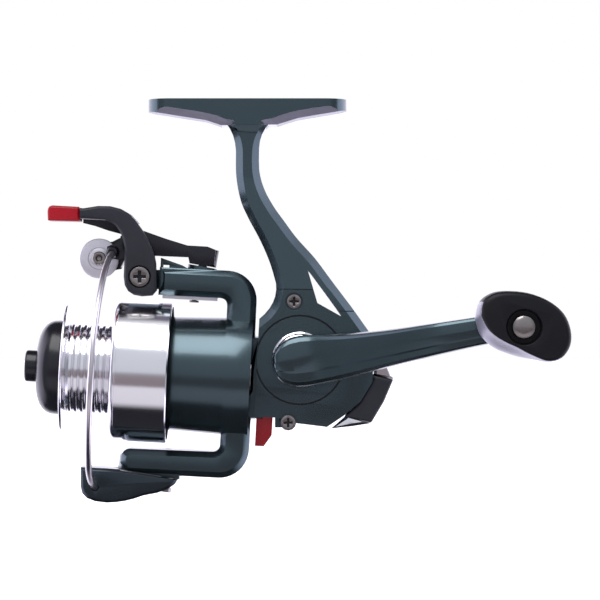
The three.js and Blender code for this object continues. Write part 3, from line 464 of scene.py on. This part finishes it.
def smoothRun(points, count=5):
    # A rounded line through the points, with a few places between each pair.
    run = []
    for i in range(len(points) - 1):
        around = [Vector(points[min(max(i + k, 0), len(points) - 1)]) for k in (-1, 0, 1, 2)]
        a, b, c, d = around
        for step in range(count):
            t = step / count
            run.append(0.5 * (2 * b + (c - a) * t + (2 * a - 5 * b + 4 * c - d) * t * t
                              + (3 * b - a - 3 * c + d) * t ** 3))
    run.append(Vector(points[-1]))
    return run


def between(table, at):
    # Reads a value from (place, value) pairs that run downwards.
    for (high, first), (low, second) in zip(table, table[1:]):
        if at >= low:
            share = min(1, max(0, (high - at) / (high - low)))
            return first + (second - first) * share
    return table[-1][1]


def loftPiece(name, sections):
    # A closed skin through sections that have the same number of points, in mm.
    around, along = len(sections[0]), len(sections)
    deselectAll()
    bpy.ops.mesh.primitive_grid_add(x_subdivisions=around, y_subdivisions=along - 1, size=mm)
    piece = bpy.context.object
    piece.name = name
    for j, section in enumerate(sections):
        for i in range(around + 1):
            piece.data.vertices[j * (around + 1) + i].co = Vector(section[i % around]) * mm
    editMode(piece, "VERT")
    bpy.ops.mesh.remove_doubles(threshold=seamGap)
    bpy.ops.mesh.fill_holes(sides=0)
    bpy.ops.mesh.select_all(action="SELECT")
    bpy.ops.mesh.normals_make_consistent(inside=False)
    objectMode()
    return piece


def chamferCutter(name, points, side, face, depth, broad):
    # A wedge along one edge of the housing, `broad` across its face and `depth` down its side.
    # side is -1 left or 1 right, face is -1 near or 1 far.
    run = smoothRun(points)
    reach = housingSet["reach"]
    sections = []
    for i, place in enumerate(run):
        ahead, behind = run[min(i + 1, len(run) - 1)], run[max(i - 1, 0)]
        way = (ahead - behind).normalized()
        out = Vector((way.y, -way.x)) * -side
        half = between(housingSet["halfWidths"], place.y)
        corners = [(-broad - reach * broad / depth, half + reach), (reach, half + reach),
                   (reach, half - depth - reach * depth / broad)]
        sections.append([(place.x + out.x * away, face * across, place.y + out.y * away)
                         for away, across in corners])
    return loftPiece(name, sections)


cutters = []
chamfer = housingSet["chamfer"]
for face in (-1, 1):
    for side, points in ((-1, housingSet["leftSide"]), (1, housingSet["rightSide"])):
        cutters.append(chamferCutter("wedge", points, side, face, chamfer, chamfer))
    cutters.append(chamferCutter("lowWedge", housingSet["lowEdge"], -1, face, *housingSet["lowFacet"]))
for nodeName in ("frame_body", "side_cover"):
    piece = mergedCopy(nodeName)
    for cutter in cutters:
        applyModifier(piece, "BOOLEAN", operation="DIFFERENCE", object=cutter, solver="EXACT")
    editMode(piece, "VERT")
    bpy.ops.mesh.remove_doubles(threshold=weldGap)
    bpy.ops.mesh.dissolve_limited(angle_limit=flatAngle)
    objectMode()
    applyModifier(piece, "BEVEL", width=housingSet["edgeRound"] * mm, segments=3, limit_method="ANGLE",
                  angle_limit=math.radians(housingSet["edgeAngle"]), miter_outer="MITER_ARC")
    shadeByAngle(piece, housingSet["smoothAngle"])
    applyModifier(piece, "WEIGHTED_NORMAL", weight=housingSet["normalWeight"], keep_sharp=True)
    settle(piece, nodeName + "Housing", nodeName, "greenPaint")
    piece.data.materials.append(finishes["paleEdge"])
    besideStem, atTips = housingSet["sheenAbove"]
    for polygon in piece.data.polygons:  # painted sheen: the underside of the foot gets a pale tone that paints a reflection of the bright studio
        facing = polygon.normal
        place = polygon.center / mm
        lowest = besideStem if abs(place.x) < housingSet["stemHalf"] else atTips
        if facing.z < housingSet["sheenFacing"] and place.z > lowest:
            polygon.material_index = 1
    piece.data.materials.append(finishes["blackGloss"])
    leastRun, leastTurn = housingSet["grooveWall"]
    for polygon in piece.data.polygons:  # painted shade: the walls of the groove round the cover's disc are painted black
        spokes = [(piece.data.vertices[i].co - crankPlace.translation).xz.length / mm
                  for i in polygon.vertices]
        inGroove = housingSet["groove"][0] < min(spokes) and max(spokes) < housingSet["groove"][1]
        onWall = max(spokes) - min(spokes) > leastRun or polygon.normal.y > leastTurn
        if nodeName == "side_cover" and inGroove and onWall and polygon.center.y < 0:
            polygon.material_index = 2
for cutter in cutters:
    bpy.data.objects.remove(cutter)
print("housing chamfered")

# Spool: skirt, ringed barrel and thin lip.
spoolSet = {
    "skirtRadius": 19.15, "skirtLength": 15.6, "skirtWall": 0.9, "frontRound": 1.7,
    "barrelRadius": 12.3, "ringCount": 6, "ringDepth": 0.42, "ringRun": (-26.2, -16.2),
    "ringShape": [(0, 0), (0.18, 0.8), (0.3, 1), (0.42, 0.8), (0.6, 0)],  # share of the step, of the depth
    "lipRadius": 17.6, "lipPlace": -28.9, "bore": 1.3,
}


def spoolProfile():
    look = spoolSet
    skirt, front = look["skirtRadius"], -look["skirtLength"]
    wall, bend = skirt - look["skirtWall"], look["frontRound"]
    lip, barrel = look["lipPlace"], look["barrelRadius"]
    first, last = look["ringRun"]
    step = (last - first) / look["ringCount"]
    points = [(look["bore"], lip + 7), (8.6, lip + 7), (8.6, lip + 0.25), (look["lipRadius"] - 0.5, lip)]
    points += arcPoints((look["lipRadius"] - 0.4, lip + 0.4), 0.4, -90, 90, 7)[1:]
    points += [(15.4, lip + 1.0), (barrel + 0.5, lip + 1.5), (barrel, lip + 2.1)]
    for i in range(look["ringCount"]):
        start = first + i * step
        for share, sunk in look["ringShape"]:
            points.append((barrel - look["ringDepth"] * sunk, start + step * share))
    points += [(barrel, front - 0.02), (skirt - bend - 1.2, front - 0.02)]
    points += arcPoints((skirt - bend, front + bend), bend, -90, 0, 9)
    points += [(skirt, -0.3), (skirt - 0.25, 0), (wall, 0), (wall, front + 2), (4.2, front + 2), (4.2, -6),
               (look["bore"], -6)]
    return points


spool = turnedPiece("spoolTurned", spoolProfile(), "X", shaftPlace, steps=128, degrees=24)
settle(spool, "spoolTurned", "spool", "turnedAlloy")

# Drag knob: domed cap with a centre nub.
dragSet = {"front": -36.1, "back": -29.25, "radius": 12.8, "nubFront": -39.4}


def dragProfile():
    look = dragSet
    front, back, radius = look["front"], look["back"], look["radius"]
    points = [(0, look["nubFront"]), (3.3, look["nubFront"])]
    points += arcPoints((3.6, look["nubFront"] + 0.7), 0.7, -90, 0, 6)[1:]
    points += [(4.3, front - 0.3), (4.7, front - 0.02), (6.5, front + 0.05), (8.6, front + 0.45),
               (10.3, front + 1.15), (11.5, front + 2.05), (12.3, front + 3.1), (12.7, front + 4.3),
               (radius, front + 5.6), (radius, back - 0.3)]
    points += [(radius - 0.3, back), (11.4, back), (11.4, front + 3.2), (3.4, front + 3.2),
               (3.4, front + 1.2), (1.3, front + 1.2), (1.3, -38), (0, -38)]
    return points


dragKnob = turnedPiece("dragKnobTurned", dragProfile(), "X", shaftPlace, degrees=40, closed=False)
settle(dragKnob, "dragKnobTurned", "drag_knob", "blackGloss")

# Crank collar, line roller and its screw.
collarProfile = [(2.3, -9.9), (7.3, -9.9), (7.55, -10.05), (7.7, -10.4), (7.7, -11.2), (7.6, -11.5),
                 (7.3, -11.7), (7.15, -12.2), (7.1, -19.9), (6.9, -20.4), (6.5, -20.7), (2.3, -20.75)]
collar = turnedPiece("handleCollarTurned", collarProfile, "Y", crankPlace)
settle(collar, "handleCollarTurned", "handle_collar", "chrome")

rollerSet = {"centre": (-40.3, 0, -43.2), "flange": 5.4, "groove": 3.1, "bore": 1.55}
rollerPlace = Matrix.Translation(Vector(rollerSet["centre"]) * mm)
rollerProfile = [(rollerSet["bore"], -2.3), (2.3, -2.3), (2.6, -2.15), (2.9, -2.12), (3.1, -2.25),
                 (4.9, -2.15), (5.25, -2.05), (rollerSet["flange"], -1.8), (5.3, -1.5), (4.4, -1.1),
                 (3.4, -0.5),
                 (rollerSet["groove"], 0.1), (rollerSet["groove"], 0.5), (3.4, 1.4), (4.4, 2.0), (4.6, 2.2),
                 (4.6, 2.5), (4.4, 2.7), (rollerSet["bore"], 2.7)]
roller = turnedPiece("lineRollerTurned", rollerProfile, "Y", rollerPlace, steps=80)
settle(roller, "lineRollerTurned", "line_roller", "frostedRoller")
pinProfile = [(0, -2.75), (0.55, -2.8), (0.85, -3.1), (0.95, -3.35), (1.2, -3.4), (1.65, -3.35),
              (1.85, -3.15), (1.9, -2.9), (1.9, -2.6), (1.0, -2.6), (1.0, 4.9), (0, 4.9)]
rollerPin = turnedPiece("rollerScrewTurned", pinProfile, "Y", rollerPlace, steps=48, closed=False)
settle(rollerPin, "rollerScrewTurned", "roller_screw", "darkNickel")


# Crank arm: long facets that taper towards the knob.
armSet = {
    "rise": math.radians(9.5),
    "length": 57,  # from the crank's axis to the knob's
    "edgeRound": 0.35,
    "edgeAngle": 22,
    "smoothAngle": 13,
    "stations": [  # along the arm, top, bottom, near face, far face
        (-6.9, 1.2, -1.2, -26.6, -21.2), (-6.2, 3.4, -3.4, -27.2, -21.1), (-4.6, 5.2, -5.2, -27.6, -21.05),
        (-2.2, 6.4, -6.5, -27.8, -21.0), (0.5, 6.75, -6.95, -28.0, -21.0), (4, 6.4, -6.9, -29.0, -21.6),
        (9, 5.8, -6.6, -32.0, -23.4), (14, 5.25, -6.05, -35.4, -26.6), (20, 4.85, -5.4, -39.4, -31.0),
        (26, 4.6, -4.75, -43.3, -35.6), (32, 4.5, -4.2, -46.6, -40.2), (38, 4.4, -3.7, -49.0, -43.6),
        (45, 4.3, -3.3, -49.9, -44.6), (52, 4.2, -3.1, -50.0, -44.6), (58, 4.0, -3.0, -50.0, -44.6),
        (60.2, 3.0, -2.2, -49.7, -44.9), (61, 1.6, -1.0, -49.2, -45.4),
    ],
    "ridge": 0.12,  # where the upper facet meets the dark wedge, as a share of the height
    "valley": -0.38,
}


def armSection(station):
    along, top, bottom, near, far = station
    deep = far - near
    ridge, valley = armSet["ridge"], armSet["valley"]
    middle, half = (top + bottom) / 2, (top - bottom) / 2
    section = [  # (height share, depth share from the near face)
        (0.92, 0.16), (0.76, 0.07), (ridge + 0.12, 0.0), (ridge - 0.04, 0.0), (valley + 0.04, 0.05),
        (valley - 0.06, 0.085), (-0.78, 0.11), (-0.93, 0.3), (-1.0, 0.55), (-0.96, 0.85),
        (-0.8, 1.0), (0.8, 1.0), (0.96, 0.85), (1.0, 0.6), (0.98, 0.34),
    ]
    return [(along, near + max(share, 0) * deep, middle + half * height) for height, share in section]


armRun = smoothRun(armSet["stations"], 4)
crankArm = loftPiece("crankArmLofted", [armSection(station) for station in armRun])
applyModifier(crankArm, "BEVEL", width=armSet["edgeRound"] * mm, segments=2, limit_method="ANGLE",
              angle_limit=math.radians(armSet["edgeAngle"]))
crankArm.data.transform(crankPlace @ Matrix.Rotation(-armSet["rise"], 4, "Y"))
shadeByAngle(crankArm, armSet["smoothAngle"])
settle(crankArm, "crankArmLofted", "handle_arm", "greenPaint")

# Knob: a soft oval paddle with a dished hole for its rivet.
knobSet = {
    "near": -65.0, "far": -50.5, "recessDepth": 2.4, "cutaway": 2.6,
    "lowerLeft": (-0.72, -0.69),  # the way the cut-away side faces
    "sheenFacing": 0.22,  # least turn towards it of the wall with the painted sheen
    "sheenFrom": 0.07,  # share of the thickness where the painted sheen begins
    "sheenTurn": 0.5,
    "edgeRound": 0.35,
    "edgeAngle": 40,
    "smoothAngle": 50,
}


def knobOutline():
    points = [(-12, 2), (-10.9, 6.2), (-8.2, 8.4), (-4.5, 9.1), (1.2, 8.6), (6.4, 6.6), (10.2, 3.4),
              (11.95, -0.8), (11.8, -4.8), (9.6, -7.9), (6.2, -8.9), (2.6, -8.3),
              (-2, -7.4), (-7.2, -5.4), (-10.6, -2.2)]
    return smoothRun(points + points[:1], 4)[:-1]


def knobSections():
    outline = knobOutline()
    near, far = knobSet["near"], knobSet["far"]
    deep = far - near
    layers = [  # share of the thickness, size, how much of the lower left is cut away
        (0.0, 0.84, 1.0), (0.02, 0.92, 1.0), (0.06, 0.965, 1.0), (0.12, 0.985, 0.97), (0.24, 0.995, 0.8),
        (0.38, 1.0, 0.5), (0.52, 1.0, 0.2), (0.64, 0.995, 0.05), (0.78, 0.97, 0.0), (0.9, 0.91, 0.0),
        (0.97, 0.83, 0.0), (1.0, 0.72, 0.0)]
    toward = Vector(knobSet["lowerLeft"])
    sections = []
    for share, grow, cut in layers:
        section = []
        for p in outline:
            facing = max(0, p.normalized().dot(toward))
            inward = toward * knobSet["cutaway"] * cut * facing ** 1.5
            section.append(((p.x - inward.x) * grow, near + deep * share, (p.y - inward.y) * grow))
        sections.append(section)
    return sections


armTurn = Matrix.Rotation(-armSet["rise"], 4, "Y")
levelTurn = Matrix.Rotation(armSet["rise"], 4, "Y")
alongArm = Matrix.Translation(Vector((armSet["length"], 0, 0)) * mm)
knobPlace = Matrix.Translation(crankPlace.translation) @ armTurn @ alongArm @ levelTurn
knob = loftPiece("knobPaddle", knobSections())
knobNear, knobFar = knobSet["near"], knobSet["far"]
knobFloor = knobNear + knobSet["recessDepth"]
recessProfile = [(0, knobNear - 2), (4.9, knobNear - 2), (4.5, knobNear + 0.6), (4.2, knobFloor),
                 (1.9, knobFloor), (1.75, knobNear + 2.6), (1.75, knobFar + 2), (0, knobFar + 2)]
hole = turnedPiece("knobHole", recessProfile, "Y", Matrix(), steps=48, closed=False)
applyModifier(knob, "BOOLEAN", operation="DIFFERENCE", object=hole, solver="EXACT")
bpy.data.objects.remove(hole)
knob.data.transform(knobPlace)
applyModifier(knob, "BEVEL", width=knobSet["edgeRound"] * mm, segments=2, limit_method="ANGLE",
              angle_limit=math.radians(knobSet["edgeAngle"]))
shadeByAngle(knob, knobSet["smoothAngle"])
settle(knob, "knobPaddle", "handle_knob", "softBlack")
knob.data.materials.append(finishes["paleEdge"])
knobMiddle = knobPlace.translation
leftward, downward = knobSet["lowerLeft"]
for polygon in knob.data.polygons:  # painted sheen: the side wall at the lower left gets a pale tone that paints a reflection of the bright studio
    facing = polygon.normal
    deep = (polygon.center.y / mm - knobNear) / (knobFar - knobNear)
    outward = (polygon.center - knobMiddle).x * facing.x + (polygon.center - knobMiddle).z * facing.z
    onSide = facing.x * leftward + facing.z * downward > knobSet["sheenFacing"] and outward > 0
    if onSide and knobSet["sheenFrom"] < deep and facing.y < knobSet["sheenTurn"]:
        polygon.material_index = 1
rivetProfile = [(0, knobNear + 0.35), (1.4, knobNear + 0.38), (2.3, knobNear + 0.55),
                (2.8, knobNear + 0.85), (3.0, knobNear + 1.3), (3.0, knobNear + 2.1),
                (1.5, knobNear + 2.1), (1.5, -44.3), (0, -44.3)]
rivet = turnedPiece("knobRivetTurned", rivetProfile, "Y", knobPlace, steps=48, closed=False)
settle(rivet, "knobRivetTurned", "knob_rivet", "darkNickel")
print("crank arm and knob made")

# Bail wire: one bent rod.
wireSet = {
    "radius": 0.85,
    "path": [(-36.4, -5.4, -41.5), (-37.2, -17, -44.8), (-38.2, -29, -52.2), (-39.2, -36.8, -62.5),
             (-39.9, -39.2, -73.4), (-40.7, -36.8, -85), (-41.4, -28.6, -95.6), (-41.7, -18, -101.9),
             (-41, -6.5, -105.4)],
}


def bentRod(name, path, radius, resolution=14, sides=10):
    deselectAll()
    bpy.ops.curve.primitive_bezier_curve_add()
    rod = bpy.context.object
    rod.name = name
    curve = rod.data
    curve.splines.clear()
    spline = curve.splines.new("BEZIER")
    spline.bezier_points.add(len(path) - 1)
    for point, place in zip(spline.bezier_points, path):
        point.co = Vector(place) * mm
        point.handle_left_type = point.handle_right_type = "AUTO"
    curve.dimensions = "3D"
    curve.bevel_depth = radius * mm
    curve.bevel_resolution = sides
    curve.resolution_u = resolution
    curve.use_fill_caps = True
    makeActive(rod)
    bpy.ops.object.convert(target="MESH")
    rod = bpy.context.object
    editMode(rod, "VERT")
    bpy.ops.mesh.remove_doubles(threshold=seamGap)
    bpy.ops.mesh.normals_make_consistent(inside=False)
    objectMode()
    return rod


bailWire = bentRod("bailWireBent", wireSet["path"], wireSet["radius"])
bpy.ops.object.transform_apply(location=True, rotation=True, scale=True)
shadeByAngle(bailWire)
settle(bailWire, "bailWireBent", "bail_wire", "wireSteel")
print("turned pieces and wire made")

cadLooks = {  # node: finish, edge radius in mm
    "rear_cap": ("chrome", 0.3), "left_cap": ("blackGloss", 0.4),
    "drive_bush_left": ("gearBrass", 0.1), "drive_bush_right": ("gearBrass", 0.1),
    "drive_gear": ("zincCast", 0), "drive_shaft": ("plainSteel", 0.2),
    "oscillation_pinion": ("zincCast", 0), "main_shaft": ("plainSteel", 0.2),
    "pinion_gear": ("plainSteel", 0), "pinion_bearing": ("plainSteel", 0.2),
    "bearing_retainer": ("plainSteel", 0.2), "ratchet_wheel": ("plainSteel", 0),
    "spool_slider": ("zincCast", 0.2), "slider_clip": ("plainSteel", 0.1),
    "oscillation_gear": ("zincCast", 0), "anti_reverse_lever": ("redPlastic", 0.3),
    "anti_reverse_pawl": ("plainSteel", 0.1), "pawl_pin": ("plainSteel", 0.1),
    "rotor": ("greenPaint", 0.5), "rotor_nut": ("gearBrass", 0.2),
    "rotor_arm_cover": ("frostedRoller", 0.2), "arm_cover_screw": ("darkNickel", 0.1),
    "trip_lever": ("plainSteel", 0.1), "bail_spring": ("plainSteel", 0.1),
    "bail_screw_upper": ("darkNickel", 0.15), "bail_screw_lower": ("darkNickel", 0.15),
    "drag_felt_inner": ("dragFelt", 0.1), "drag_felt_outer": ("dragFelt", 0.1),
    "drag_washer_steel": ("plainSteel", 0.1), "drag_pressure_plate": ("plainSteel", 0.1),
    "drag_clip": ("plainSteel", 0.1), "drag_spring": ("plainSteel", 0.1),
    "drag_nut": ("gearBrass", 0.2), "click_gear": ("zincCast", 0),
    "bail_arm": ("blackGloss", 0.7), "bail_holder": ("deepGreen", 0.7),
    "roller_bush": ("gearBrass", 0.1), "trigger_lever": ("satinBlack", 0.4),
    "trigger_grip": ("redPlastic", 0.4), "trigger_spring": ("plainSteel", 0.2),
}
screwSet = {
    "edgeRound": 0.12,
    "pitShare": 0.62,  # how much of a screw head its cross recess may reach
    "pitFrom": 0.1,  # below the top of the head, in mm
    "pitTo": 1.6,
}
for nodeName in ("cover_screw_top", "cover_screw_bottom", "cover_screw_rear", "trigger_screw"):
    piece = roundedCopy(nodeName, "darkNickel", screwSet["edgeRound"])
    # Painted shade: the faces inside each screw head's cross recess are painted black.
    piece.data.materials.append(finishes["blackGloss"])
    corners = [v.co for v in piece.data.vertices]
    top = min(c.y for c in corners)
    middle = Vector((min(c.x for c in corners) + max(c.x for c in corners), 0,
                     min(c.z for c in corners) + max(c.z for c in corners))) / 2
    radius = max(c.x for c in corners) - middle.x
    for polygon in piece.data.polygons:
        away = math.hypot(polygon.center.x - middle.x, polygon.center.z - middle.z)
        sunk = top + screwSet["pitFrom"] * mm < polygon.center.y < top + screwSet["pitTo"] * mm
        if away < screwSet["pitShare"] * radius and sunk:
            polygon.material_index = 1

blockSet = {"reach": 12, "grow": 0.9, "facing": -0.2, "edgeRound": 0.3, "edgeAngle": 30, "smoothAngle": 38}
for nodeName in ("rear_cap_insert", "rear_cap_insert_far"):  # copies, grown a little to the left
    piece = mergedCopy(nodeName)
    leftmost = min(v.co.x for v in piece.data.vertices)
    for v in piece.data.vertices:
        if v.co.x < leftmost + blockSet["reach"] * mm and v.normal.x < blockSet["facing"]:
            v.co.x -= blockSet["grow"] * mm
    applyModifier(piece, "BEVEL", width=blockSet["edgeRound"] * mm, segments=3, limit_method="ANGLE",
                  angle_limit=math.radians(blockSet["edgeAngle"]))
    shadeByAngle(piece, blockSet["smoothAngle"])
    settle(piece, nodeName + "Block", nodeName, "satinBlack")

for nodeName, (finishName, width) in cadLooks.items():
    if width > 0:
        roundedCopy(nodeName, finishName, width)
    else:  # the gears stay as they are
        nodes[nodeName].data.materials.clear()
        nodes[nodeName].data.materials.append(finishes[finishName])
print("carried over:", len(cadLooks))
